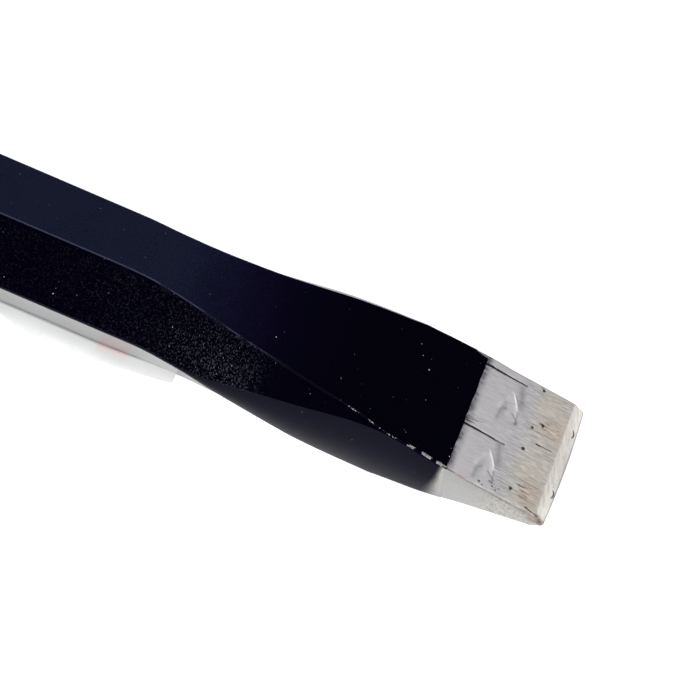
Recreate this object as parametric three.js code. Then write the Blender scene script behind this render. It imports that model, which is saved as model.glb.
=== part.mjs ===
// Cold chisel: a hexagonal steel bar drawn out at one end to a wide flat blade, ground bare at the
// cutting edge and faced at the struck end, with a black lacquer film on everything between and a
// paper label on the flat it rests on. Millimetres; +X points to the cutting edge, +Z is the normal
// of the upper flat, and the origin is the middle of the base.

import * as THREE from "three";
import { LoftGeometry } from "three/addons/geometries/LoftGeometry.js";
import { mergeGeometries } from "three/addons/utils/BufferGeometryUtils.js";

// The bar. Distances named ...At are measured back from the cutting edge.
const length = 254;
const acrossFlats = 19;
const cornerRadius = 0.45;
const bladeCornerRadius = 0.18;
const cornersNarrowFrom = 60;
const cornersNarrowTo = 40;

// The blade: two wide faces that close at a constant taper, then the short cutting bevel.
const bladeWidth = 24.53;
const taper = 0.287; // thickness lost in each millimetre of length
const bevelThickness = 2.6;
const bevelAt = 2.2;
const edgeLand = 0.15;
const edgeCrown = 0.35; // how far the corners of the cutting edge lie behind its middle
const tipSwell = THREE.MathUtils.degToRad(16.1); // the forged sides bulge: their slope at each corner
const shoulderSwell = THREE.MathUtils.degToRad(23);
const swellGrowsTo = 36.2;

// The forged shoulder, where the hexagon turns into the blade.
const taperBlend = 4.86;
const neckDepth = 2.45;
const neckAt = 53.8;
const neckReach = 21.2;
const flareStartAt = 69.5;
const flareEndAt = 55.4;
const waistDepth = 0.56;
const waistAt = 30.3;
const waistReach = 12.8;
const flatWidensAt = 70.5;
const flatWidening = 1.31; // above 1 the flat widens slowly at first
const sidesStartAt = 61.6;
const bladeStartAt = 28.2;
const sidesGrowGently = 0.15; // share of their growth over which the sides leave nothing

// The lacquer, from the struck end's cone to the straight line where the tip was ground bare.
const filmThickness = 0.15;
const paintLineAt = 17.5;

// The struck end: a turned cone round a flat face.
const faceRadius = 7.8;
const coneRadius = 11.4;
const coneLength = 4.5;
const faceBreak = 0.4; // small chamfer round the flat face

// The label, stuck to the lower flat with one long margin standing out beyond the bar.
const labelThickness = 0.12;
const adhesive = 0.05; // thickness of the glue between the label and the lacquer
const labelLength = 32;
const labelEndAt = 61.2;
const labelReach = 9.4; // from the bar's centre line to the edge of the loose margin
const labelDroop = 1;
const labelCorner = 3.8;
const labelCornerLength = 0.28; // share of the label's length that its rounded corner takes
const labelFarReach = 5;
const labelSteps = 12;

const hexSide = acrossFlats / Math.sqrt(3);
const axisHeight = labelThickness + adhesive + filmThickness + acrossFlats / 2;
const tipX = length / 2;
const shankAt = bevelAt + (acrossFlats + taperBlend - bevelThickness) / taper;
const filmEndAt = length - coneLength - faceBreak;

const clamp01 = (value) => THREE.MathUtils.clamp(value, 0, 1);

// 1 at the centre, falling smoothly to 0 at a distance of reach on either side.
function bump(value, centre, reach) {
  return clamp01(1 - ((value - centre) / reach) ** 2) ** 2;
}

// The smaller of two values, with the corner between them rounded over the width blend.
function softMin(a, b, blend) {
  const overlap = Math.max(blend - Math.abs(a - b), 0) / blend;
  return Math.min(a, b) - (overlap * overlap * blend) / 4;
}

function thicknessAt(at) {
  if (at < bevelAt) {
    return THREE.MathUtils.mapLinear(at, 0, bevelAt, edgeLand, bevelThickness);
  }
  const wedge = bevelThickness + taper * (at - bevelAt);
  return softMin(acrossFlats, wedge, taperBlend) - neckDepth * bump(at, neckAt, neckReach);
}

function cornerRadiusAt(at) {
  const narrowed = 1 - THREE.MathUtils.smoothstep(at, cornersNarrowTo, cornersNarrowFrom);
  const radius = THREE.MathUtils.lerp(cornerRadius, bladeCornerRadius, narrowed);
  return Math.min(radius, 0.4 * thicknessAt(at));
}

function halfWidthAt(at) {
  const shank = hexSide - cornerRadius * (2 / Math.sqrt(3) - 1);
  const flare = 1 - THREE.MathUtils.smoothstep(at, flareEndAt, flareStartAt);
  const waist = waistDepth * bump(at, waistAt, waistReach);
  const roundedEnd = edgeCrown * (1 - clamp01(at / 0.6)) ** 2;
  return THREE.MathUtils.lerp(shank, bladeWidth / 2, flare) - waist - roundedEnd;
}

function swellAt(at) {
  const grown = THREE.MathUtils.smoothstep(at, paintLineAt, swellGrowsTo);
  return THREE.MathUtils.lerp(tipSwell, shoulderSwell, grown);
}

// One cross-section, counter-clockwise seen from the tip. It is an octagon with rounded corners:
// wide flat, facet, bulging side, facet. In the shank the sides have no height and the octagon is the
// hexagon; in the blade the facets have no width. skin is added all round, for the lacquer's surface.
function section(at, skin = 0) {
  const radius = cornerRadiusAt(at);
  const top = thicknessAt(at) / 2 - radius;
  const side = halfWidthAt(at) - radius;
  const shankFlat = hexSide / 2 - cornerRadius / Math.sqrt(3);
  const widened = clamp01((flatWidensAt - at) / (flatWidensAt - bladeStartAt)) ** flatWidening;
  const flat = THREE.MathUtils.lerp(shankFlat, side, widened);
  const sideStart = clamp01((sidesStartAt - at) / (sidesStartAt - bladeStartAt));
  const sideHeight = top * softRamp(sideStart, sidesGrowGently);
  const slopeAtCorner = swellAt(at);
  const swell = sideHeight / Math.sin(slopeAtCorner);
  const straight = Math.atan2(side - flat + 1e-6, top - sideHeight + 1e-6);
  const facetSlope = Math.max(straight, slopeAtCorner);

  const onSide = (slope) =>
    new THREE.Vector2(
      side + swell * (Math.cos(slope) - Math.cos(slopeAtCorner)) + (radius + skin) * Math.cos(slope),
      (swell + radius + skin) * Math.sin(slope),
    );
  const onCorner = (y, z, slope) =>
    new THREE.Vector2(y, z).addScaledVector(
      new THREE.Vector2(Math.cos(slope), Math.sin(slope)),
      radius + skin,
    );
  const between = (from, to, share) => THREE.MathUtils.lerp(from, to, share);

  const quarter = [onSide(0), onSide(slopeAtCorner / 3), onSide((slopeAtCorner * 2) / 3)];
  for (const share of [0, 0.5, 1]) {
    quarter.push(onCorner(side, sideHeight, between(slopeAtCorner, facetSlope, share)));
  }
  const facetMiddle = quarter.at(-1).clone();
  for (const share of [0, 0.5, 1]) {
    quarter.push(onCorner(flat, top, between(facetSlope, Math.PI / 2, share)));
  }
  facetMiddle.lerp(quarter.at(-3), 0.5);
  quarter.splice(-3, 0, facetMiddle);
  quarter.push(new THREE.Vector2(flat / 2, top + radius + skin));

  const upper = [
    ...quarter,
    new THREE.Vector2(0, top + radius + skin),
    ...quarter.map((p) => new THREE.Vector2(-p.x, p.y)).reverse(),
  ];
  const lower = upper.slice(1, -1).map((p) => new THREE.Vector2(p.x, -p.y)).reverse();
  const crown = edgeCrown * (1 - clamp01(at / bevelAt)) ** 2;
  return [...upper, ...lower].map((p) => {
    const x = tipX - at - crown * (p.x / side) ** 2;
    return new THREE.Vector3(x, p.x, p.y + axisHeight);
  });
}

// A ramp from 0 to 1 that leaves 0 gently, over the first share of its length.
function softRamp(value, share) {
  const straight = value < share ? value ** 2 / (2 * share) : value - share / 2;
  return straight / (1 - share / 2);
}

// A section of the struck end, cut back to the turned cone.
function headSection(at, radius) {
  const centre = new THREE.Vector3(tipX - at, 0, axisHeight);
  return section(at).map((p) => p.sub(centre).clampLength(0, radius).add(centre));
}

// Evenly spaced distances from one station to the next, without the last one.
function steps(from, to, count) {
  return Array.from({ length: count }, (_, i) => THREE.MathUtils.lerp(from, to, i / count));
}

const filmStations = [
  ...steps(filmEndAt, shankAt, 4),
  ...steps(shankAt, bladeStartAt, 18),
  ...steps(bladeStartAt, paintLineAt, 4),
  paintLineAt,
];
const tipStations = [...steps(paintLineAt, bevelAt, 4).slice(1), bevelAt, 1, 0.4, 0];

function steelBar() {
  const head = [headSection(length, faceRadius - faceBreak)];
  for (const at of steps(length - faceBreak, filmEndAt, 5)) {
    const along = (length - faceBreak - at) / coneLength;
    head.push(headSection(at, THREE.MathUtils.lerp(faceRadius, coneRadius, along)));
  }
  const body = [...filmStations, ...tipStations].map((at) => section(at));
  return new LoftGeometry([...head, ...body], { capStart: true, capEnd: true });
}

// An open-ended sleeve: its inner wall is the steel's own surface, turned to face the other way.
function lacquerCoat() {
  const outer = filmStations.map((at) => section(at, filmThickness));
  const inner = filmStations.map((at) => section(at));
  const innerWall = new LoftGeometry(inner);
  innerWall.index.array.reverse();
  const headEnd = new LoftGeometry([inner[0], outer[0]]);
  const tipEnd = new LoftGeometry([outer.at(-1), inner.at(-1)]);
  return mergeGeometries([new LoftGeometry(outer), innerWall, headEnd, tipEnd]);
}

// A thin sheet under the lower flat that follows the flat up where the bar begins to taper.
function undersideLabel() {
  const startAt = labelEndAt + labelLength;
  const sections = [];
  for (const at of [...steps(startAt, labelEndAt, labelSteps), labelEndAt]) {
    const along = (startAt - at) / labelLength;
    const corner = Math.max(0, 1 - along / labelCornerLength);
    const near = -labelReach + labelDroop * along ** 2 + labelCorner * corner ** 2;
    const top = axisHeight - thicknessAt(at) / 2 - filmThickness - adhesive;
    const bottom = top - labelThickness;
    const x = tipX - at;
    sections.push([
      new THREE.Vector3(x, labelFarReach, bottom),
      new THREE.Vector3(x, labelFarReach, top),
      new THREE.Vector3(x, near, top),
      new THREE.Vector3(x, near, bottom),
    ]);
  }
  return new LoftGeometry(sections, { capStart: true, capEnd: true });
}

const groundSteel = new THREE.MeshStandardMaterial({ color: 0xc9c7c9, roughness: 0.34, metalness: 1 });
const blackLacquer = new THREE.MeshStandardMaterial({ color: 0x0b0b14, roughness: 0.3, metalness: 0 });
const labelPaper = new THREE.MeshStandardMaterial({ color: 0xf0efed, roughness: 0.85, metalness: 0 });

const chisel = new THREE.Group();
for (const [name, geometry, material] of [
  ["steel_bar", steelBar(), groundSteel],
  ["lacquer_coat", lacquerCoat(), blackLacquer],
  ["underside_label", undersideLabel(), labelPaper],
]) {
  const mesh = new THREE.Mesh(geometry, material);
  mesh.name = name;
  chisel.add(mesh);
}

export default chisel;
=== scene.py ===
import math

import bmesh
import bpy
import numpy as np
from mathutils import Matrix, Vector


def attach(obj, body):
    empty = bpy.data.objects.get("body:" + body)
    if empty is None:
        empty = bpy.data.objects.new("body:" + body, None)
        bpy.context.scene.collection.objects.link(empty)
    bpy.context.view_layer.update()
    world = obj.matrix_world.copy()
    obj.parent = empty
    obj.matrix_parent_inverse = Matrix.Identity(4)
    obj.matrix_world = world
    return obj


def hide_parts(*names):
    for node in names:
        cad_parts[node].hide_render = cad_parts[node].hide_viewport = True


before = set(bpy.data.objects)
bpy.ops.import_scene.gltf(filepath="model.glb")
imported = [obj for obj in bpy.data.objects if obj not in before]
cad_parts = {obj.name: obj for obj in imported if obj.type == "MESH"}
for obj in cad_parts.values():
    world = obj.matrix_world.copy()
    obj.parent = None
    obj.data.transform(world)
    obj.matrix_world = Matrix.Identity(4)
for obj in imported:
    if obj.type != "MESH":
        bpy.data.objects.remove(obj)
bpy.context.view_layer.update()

print("frame loaded:", ", ".join(sorted(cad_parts)))

# Cold chisel. Shapes are worked out in millimetres and scaled when they become meshes. +X points to
# the cutting edge, +Z out of the upper flat; distances named ...At are measured back from the edge.
metresPerMillimetre = 0.001

bar = {
    "length": 254.0,
    "acrossFlats": 19.0,
    "cornerRadius": 0.45,
    "bladeCornerRadius": 0.18,
    "cornersNarrowFrom": 60.0,
    "cornersNarrowTo": 40.0,
    "bareCornerRadius": 0.50,  # the ground tip's corners are softer
    "bareCornerBlend": 5.0,
    "bladeWidth": 24.53,
    "taper": 0.287,  # thickness lost in each millimetre of length
    "bevelThickness": 2.6,
    "bevelAt": 2.2,
    "edgeLand": 0.15,
    "edgeCrown": 0.35,  # how far the corners of the edge lie behind its middle
    "edgeRounding": 0.6,  # length over which the blade narrows into the edge's corners
    "tipSwell": math.radians(16.1),  # slope of the bulging sides at their corners
    "shoulderSwell": math.radians(23),
    "swellGrowsTo": 36.2,
    "taperBlend": 4.86,
    "neckDepth": 2.45,
    "neckAt": 53.8,
    "neckReach": 21.2,
    "flareStartAt": 69.5,
    "flareEndAt": 55.4,
    "waistDepth": 0.56,
    "waistAt": 30.3,
    "waistReach": 12.8,
    "flatWidensAt": 70.5,
    "flatWidening": 1.31,
    "sidesStartAt": 61.6,
    "bladeStartAt": 28.2,
    "sidesGrowGently": 0.15,
    "paintLineAt": 17.5,
    "filmThickness": 0.15,
    "adhesive": 0.05,
    "labelThickness": 0.12,
    "faceRadius": 7.8,
    "coneRadius": 11.4,
    "coneLength": 4.5,
    "faceBreak": 0.4,
}
tipX = bar["length"] / 2
hexSide = bar["acrossFlats"] / math.sqrt(3)
axisHeight = (
    bar["labelThickness"] + bar["adhesive"] + bar["filmThickness"] + bar["acrossFlats"] / 2
)
filmEndAt = bar["length"] - bar["coneLength"] - bar["faceBreak"]


def clamp01(value):
    return np.clip(value, 0.0, 1.0)


def lerp(start, end, share):
    return start + (end - start) * share


# 0 below low, 1 above high, and 3t^2 - 2t^3 in between.
def smooth(value, low, high):
    t = clamp01((value - low) / (high - low))
    return t * t * (3 - 2 * t)


# 1 between low and high and 0 outside them, with soft steps that reach softness to either side.
def between(value, low, high, softness):
    rising = smooth(value, low - softness, low + softness)
    return rising * (1 - smooth(value, high - softness, high + softness))


# 1 at the centre, (1 - u^2)^2 around it, 0 from a distance of reach on.
def bump(value, centre, reach):
    return clamp01(1 - ((value - centre) / reach) ** 2) ** 2


# The smaller of two values, its corner rounded by a parabola over the width blend.
def softMin(a, b, blend):
    overlap = np.maximum(blend - np.abs(a - b), 0) / blend
    return np.minimum(a, b) - overlap**2 * blend / 4


# A ramp that leaves 0 as a parabola over its first share and goes on straight to 1.
def softRamp(value, share):
    straight = np.where(value < share, value**2 / (2 * share), value - share / 2)
    return straight / (1 - share / 2)


latticeFactors = (374761393, 668265263, 1274126177, 974711)  # large odd numbers that mix the hash
latticeShift = np.array([0.37, 0.59, 0.73])  # how far each seed moves the lattice


# Value noise from -1 to 1: hashed numbers at the corners of a lattice of the given cell size, which
# each seed shifts, blended between corners by 3t^2 - 2t^3 along each axis.
def latticeNoise(points, cell, seed):
    scaled = np.asarray(points, float) / np.asarray(cell, float) + seed * latticeShift
    base = np.floor(scaled).astype(np.int64)
    part = scaled - base
    part = part * part * (3 - 2 * part)
    total = np.zeros(scaled.shape[:-1])
    forX, forY, forZ, forSeed = latticeFactors
    largest = 0xFFFFFFFF
    for corner in np.ndindex(2, 2, 2):
        offset = np.array(corner)
        i, j, k = np.moveaxis(base + offset, -1, 0)
        mixed = (i * forX + j * forY + k * forZ + seed * forSeed) & largest
        mixed = ((mixed ^ (mixed >> 13)) * forZ) & largest
        mixed = mixed ^ (mixed >> 16)
        weight = np.prod(np.where(offset == 1, part, 1 - part), axis=-1)
        total += weight * (mixed / largest * 2 - 1)
    return total


# Thickness: a straight bevel, then a wedge that softly meets the bar's own thickness, less a
# shallow forged neck.
def thicknessAt(at):
    bevel = lerp(bar["edgeLand"], bar["bevelThickness"], at / bar["bevelAt"])
    wedge = bar["bevelThickness"] + bar["taper"] * (at - bar["bevelAt"])
    body = softMin(bar["acrossFlats"], wedge, bar["taperBlend"])
    body = body - bar["neckDepth"] * bump(at, bar["neckAt"], bar["neckReach"])
    return np.where(at < bar["bevelAt"], bevel, body)


def cornerRadiusAt(at):
    narrowed = 1 - smooth(at, bar["cornersNarrowTo"], bar["cornersNarrowFrom"])
    radius = lerp(bar["cornerRadius"], bar["bladeCornerRadius"], narrowed)
    softened = 1 - smooth(at, bar["paintLineAt"] - bar["bareCornerBlend"], bar["paintLineAt"])
    radius = lerp(radius, bar["bareCornerRadius"], softened)
    return np.minimum(radius, 0.4 * thicknessAt(at))


def halfWidthAt(at):
    shank = hexSide - bar["cornerRadius"] * (2 / math.sqrt(3) - 1)
    flare = 1 - smooth(at, bar["flareEndAt"], bar["flareStartAt"])
    waist = bar["waistDepth"] * bump(at, bar["waistAt"], bar["waistReach"])
    roundedEnd = bar["edgeCrown"] * (1 - clamp01(at / bar["edgeRounding"])) ** 2
    return lerp(shank, bar["bladeWidth"] / 2, flare) - waist - roundedEnd


# Places round one quarter of a section, from the middle of the side to the middle of the flat: the
# stretch (0 side, 1 corner, 2 facet, 3 corner, 4 flat) and how far along it. gather draws the
# flat's places towards its corner.
def quarterPlaces(counts, gather):
    stretch, share = [], []
    for kind, count in enumerate(counts):
        last = kind == len(counts) - 1
        stretch.append(np.full(count, kind))
        share.append(np.linspace(0, 1, count, endpoint=last))
    share[4] = share[4] ** gather
    return np.concatenate(stretch), np.concatenate(share)


# The four quarters in turn, counter-clockwise seen from the tip, each shared place once.
def ringPlaces(counts, gather=1.0):
    stretch, share = quarterPlaces(counts, gather)
    order = np.arange(len(stretch))
    turns = [
        (order, 1, 1),
        (order[:-1][::-1], -1, 1),
        (order[1:], -1, -1),
        (order[1:-1][::-1], 1, -1),
    ]
    return {
        "stretch": np.concatenate([stretch[picked] for picked, _, _ in turns]),
        "share": np.concatenate([share[picked] for picked, _, _ in turns]),
        "across": np.concatenate([np.full(len(p), a) for p, a, _ in turns]),
        "up": np.concatenate([np.full(len(p), u) for p, _, u in turns]),
    }


# The bar's surface as a function of distance from the edge and place round the section. The section
# is a core line of arc, point, facet, point, flat, grown outward by the corner radius plus skin:
# core + (radius + skin) * (cos slope, sin slope). Returns positions and outward directions.
def barSurface(at, ring, skin):
    stretch, share = ring["stretch"], ring["share"]
    radius = cornerRadiusAt(at)
    top = thicknessAt(at) / 2 - radius
    side = halfWidthAt(at) - radius
    shankFlat = hexSide / 2 - bar["cornerRadius"] / math.sqrt(3)
    widens = bar["flatWidensAt"] - bar["bladeStartAt"]
    widened = clamp01((bar["flatWidensAt"] - at) / widens) ** bar["flatWidening"]
    flat = lerp(shankFlat, side, widened)
    sideStart = clamp01((bar["sidesStartAt"] - at) / (bar["sidesStartAt"] - bar["bladeStartAt"]))
    sideHeight = top * softRamp(sideStart, bar["sidesGrowGently"])
    grown = smooth(at, bar["paintLineAt"], bar["swellGrowsTo"])
    sideSlope = lerp(bar["tipSwell"], bar["shoulderSwell"], grown)
    swell = sideHeight / np.sin(sideSlope)
    facetSlope = np.maximum(
        np.arctan2(side - flat + 1e-6, top - sideHeight + 1e-6), sideSlope
    )
    whole = np.zeros(np.broadcast(at, share).shape)
    stretches = [stretch == kind for kind in range(5)]
    slope = np.select(
        stretches,
        [
            sideSlope * share,
            lerp(sideSlope, facetSlope, share),
            facetSlope + whole,
            lerp(facetSlope, math.pi / 2, share),
            whole + math.pi / 2,
        ],
    )
    coreAcross = np.select(
        stretches,
        [
            side + swell * (np.cos(slope) - np.cos(sideSlope)),
            side + whole,
            lerp(side, flat, share),
            flat + whole,
            flat * (1 - share),
        ],
    )
    coreUp = np.select(
        stretches,
        [
            swell * np.sin(slope),
            sideHeight + whole,
            lerp(sideHeight, top, share),
            top + whole,
            top + whole,
        ],
    )
    across = (coreAcross + (radius + skin) * np.cos(slope)) * ring["across"]
    up = (coreUp + (radius + skin) * np.sin(slope)) * ring["up"]
    crown = bar["edgeCrown"] * (1 - clamp01(at / bar["bevelAt"])) ** 2
    along = tipX - at - crown * (across / side) ** 2
    points = np.stack([along, across, up + axisHeight], axis=-1)
    outward = np.stack(
        [whole, np.cos(slope) * ring["across"], np.sin(slope) * ring["up"]], axis=-1
    )
    return points, outward


# Quads between neighbouring rows and columns of a grid whose columns close on themselves.
def ringFaces(rowCount, columnCount, first=0, inward=False):
    row = np.arange(rowCount - 1)[:, None] * columnCount
    column = np.arange(columnCount)[None, :]
    following = (column + 1) % columnCount
    nextRow = row + columnCount
    corners = [row + column, row + following, nextRow + following, nextRow + column]
    if inward:
        corners.reverse()
    return first + np.stack(corners, axis=-1).reshape(-1, 4)


# Makes a piece from points in millimetres, joins points that coincide, and keeps the masks as
# attributes of its points.
def makePiece(name, points, faces, masks, material, sharpAngle):
    mesh = bpy.data.meshes.new(name)
    mesh.from_pydata(points.reshape(-1, 3) * metresPerMillimetre, [], faces)
    for maskName, values in masks.items():
        layer = mesh.attributes.new(maskName, "FLOAT", "POINT")
        layer.data.foreach_set("value", np.ascontiguousarray(values, np.float32).ravel())
    merged = bmesh.new()
    merged.from_mesh(mesh)
    bmesh.ops.remove_doubles(merged, verts=merged.verts, dist=1e-6)
    merged.to_mesh(mesh)
    merged.free()
    mesh.shade_smooth()
    mesh.set_sharp_from_angle(angle=math.radians(sharpAngle))
    mesh.materials.append(material)
    piece = bpy.data.objects.new(name, mesh)
    bpy.context.scene.collection.objects.link(piece)
    return piece


# Helpers that build shader nodes.


def addNode(tree, kind, inputs=None, **settings):
    node = tree.nodes.new(kind)
    for name, value in settings.items():
        setattr(node, name, value)
    for name, value in (inputs or {}).items():
        if isinstance(value, bpy.types.NodeSocket):
            tree.links.new(value, node.inputs[name])
        else:
            node.inputs[name].default_value = value
    return node


def mathNode(tree, operation, first, second=0.0, clamp=False):
    node = addNode(tree, "ShaderNodeMath", {0: first, 1: second}, operation=operation)
    node.use_clamp = clamp
    return node.outputs[0]


def times(tree, first, second, clamp=False):
    return mathNode(tree, "MULTIPLY", first, second, clamp)


def plus(tree, first, second):
    return mathNode(tree, "ADD", first, second)


def minus(tree, first, second, clamp=False):
    return mathNode(tree, "SUBTRACT", first, second, clamp)


def mixColours(tree, factor, first, second):
    node = tree.nodes.new("ShaderNodeMix")
    node.data_type = "RGBA"
    sockets = node.inputs[0], node.inputs[6], node.inputs[7]
    for socket, value in zip(sockets, (factor, first, second)):
        if isinstance(value, bpy.types.NodeSocket):
            tree.links.new(value, socket)
        elif isinstance(value, tuple):
            socket.default_value = (*value, 1.0)
        else:
            socket.default_value = value
    return node.outputs[2]


def mapRange(tree, value, fromLow, fromHigh, toLow=0.0, toHigh=1.0, kind="SMOOTHSTEP"):
    node = addNode(
        tree,
        "ShaderNodeMapRange",
        {
            "Value": value,
            "From Min": fromLow,
            "From Max": fromHigh,
            "To Min": toLow,
            "To Max": toHigh,
        },
        interpolation_type=kind,
    )
    return node.outputs["Result"]


def vectorNode(tree, operation, first, second=(0.0, 0.0, 0.0)):
    return addNode(tree, "ShaderNodeVectorMath", {0: first, 1: second}, operation=operation)


def addRelief(tree, shader, height, strength, depth):
    values = {"Strength": strength, "Distance": depth, "Height": height}
    relief = addNode(tree, "ShaderNodeBump", values)
    tree.links.new(relief.outputs[0], shader.inputs["Normal"])


def makeGroup(name, inputs, outputs):
    group = bpy.data.node_groups.new(name, "ShaderNodeTree")
    for socketName, kind, value in inputs:
        socket = group.interface.new_socket(socketName, in_out="INPUT", socket_type=kind)
        if value is not None:
            socket.default_value = value
    for socketName, kind in outputs:
        group.interface.new_socket(socketName, in_out="OUTPUT", socket_type=kind)
    return group, group.nodes.new("NodeGroupInput"), group.nodes.new("NodeGroupOutput")


def useGroup(tree, group, **inputs):
    node = tree.nodes.new("ShaderNodeGroup")
    node.node_tree = group
    for name, value in inputs.items():
        socket = node.inputs[name]
        if isinstance(value, bpy.types.NodeSocket):
            tree.links.new(value, socket)
        else:
            socket.default_value = value
    return node


# Streaks that run along X: noise that is stretched by its own scale along the bar and across it.
streaks, given, result = makeGroup(
    "streaks",
    [
        ("Position", "NodeSocketVector", None),
        ("PerMetreAlong", "NodeSocketFloat", 150.0),
        ("PerMetreAcross", "NodeSocketFloat", 5000.0),
        ("Rough", "NodeSocketFloat", 0.6),
    ],
    [("Height", "NodeSocketFloat")],
)
stretched = addNode(
    streaks,
    "ShaderNodeCombineXYZ",
    {
        "X": given.outputs["PerMetreAlong"],
        "Y": given.outputs["PerMetreAcross"],
        "Z": given.outputs["PerMetreAcross"],
    },
)
placed = vectorNode(streaks, "MULTIPLY", given.outputs["Position"], stretched.outputs[0])
streakNoise = addNode(
    streaks,
    "ShaderNodeTexNoise",
    {"Vector": placed.outputs[0], "Scale": 1.0, "Detail": 3.0, "Roughness": given.outputs["Rough"]},
)
streaks.links.new(streakNoise.outputs["Fac"], result.inputs["Height"])

# Scattered specks: the cells of a Voronoi pattern, kept only where the cell's own random value is
# high, each a soft round spot.
specks, given, result = makeGroup(
    "specks",
    [
        ("Position", "NodeSocketVector", None),
        ("PerMetre", "NodeSocketFloat", 1000.0),
        ("Coverage", "NodeSocketFloat", 0.05),
        ("Size", "NodeSocketFloat", 0.25),
    ],
    [("Mask", "NodeSocketFloat")],
)
cells = addNode(
    specks,
    "ShaderNodeTexVoronoi",
    {"Vector": given.outputs["Position"], "Scale": given.outputs["PerMetre"], "Randomness": 1.0},
)
chance = addNode(specks, "ShaderNodeSeparateColor", {"Color": cells.outputs["Color"]})
unlikely = minus(specks, 1.0, given.outputs["Coverage"])
kept = mathNode(specks, "GREATER_THAN", chance.outputs[0], unlikely)
reach = times(specks, given.outputs["Size"], chance.outputs[1])
offCentre = mathNode(specks, "DIVIDE", cells.outputs["Distance"], reach)
spot = mapRange(specks, offCentre, 0.6, 1.0, 1.0, 0.0)
specks.links.new(times(specks, kept, spot), result.inputs["Mask"])

# Cloudy unevenness: fractal noise stretched between two levels.
clouds, given, result = makeGroup(
    "clouds",
    [
        ("Position", "NodeSocketVector", None),
        ("PerMetre", "NodeSocketFloat", 200.0),
        ("Low", "NodeSocketFloat", 0.35),
        ("High", "NodeSocketFloat", 0.65),
        ("Detail", "NodeSocketFloat", 4.0),
    ],
    [("Mask", "NodeSocketFloat"), ("Height", "NodeSocketFloat")],
)
cloudNoise = addNode(
    clouds,
    "ShaderNodeTexNoise",
    {
        "Vector": given.outputs["Position"],
        "Scale": given.outputs["PerMetre"],
        "Detail": given.outputs["Detail"],
        "Roughness": 0.6,
    },
)
clouds.links.new(
    mapRange(clouds, cloudNoise.outputs["Fac"], given.outputs["Low"], given.outputs["High"]),
    result.inputs["Mask"],
)
clouds.links.new(cloudNoise.outputs["Fac"], result.inputs["Height"])


def newMaterial(name):
    material = bpy.data.materials.new(name)
    material.use_nodes = True
    tree = material.node_tree
    shader = tree.nodes["Principled BSDF"]
    position = addNode(tree, "ShaderNodeTexCoord").outputs["Object"]
    return material, tree, shader, position


def readMask(tree, name):
    return addNode(tree, "ShaderNodeAttribute", attribute_name=name).outputs["Fac"]


# Ground steel.

steelFinish = {
    "coolColour": (0.60, 0.585, 0.605),
    "warmColour": (0.675, 0.645, 0.585),
    # the side and the bevel are lighter copies of the steel: painted light for how the lamps fall
    "sideCoolLitColour": (0.66, 0.655, 0.63),
    "sideWarmLitColour": (0.75, 0.735, 0.665),
    "bevelLitColour": (0.775, 0.752, 0.69),
    "tanColour": (0.74, 0.635, 0.54),
    "rustColour": (0.26, 0.17, 0.11),
    "redColour": (0.62, 0.20, 0.12),
    "scarColour": (0.010, 0.009, 0.009),
    "lineColour": (0.22, 0.20, 0.18),
    # pale scratches, and painted highlights
    "paleScratchAndHighlightColour": (1.0, 0.98, 0.97),
    "roughness": 0.45,
    "rustRoughness": 0.10,  # added where it is discoloured
    "anisotropy": 0.85,
    "reliefDepth": 0.00002,
    # streaks in each metre along the bar and across it
    "coarseLines": (60.0, 1900.0),
    "fineLines": (130.0, 4200.0),
    "slantLines": (260.0, 2600.0),
    "slantTurn": (0.5, -0.9, 0.9),
    "pitsPerMetre": 1300.0,
    "ringsPerMetre": 6500.0,
    # metres along X between which the steel turns warm, and dirty
    "warmFrom": (0.1175, 0.1215),
    "dirtyFrom": (0.1135, 0.1200),
    # how strongly marks show on clean and on dirty steel
    "lineShare": (0.14, 0.27),
    "grainShare": (0.06, 0.40),
    "bevelGrainLess": 0.17,
    "paleLineShare": 0.30,
    "cloudShare": 0.07,
}


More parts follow.
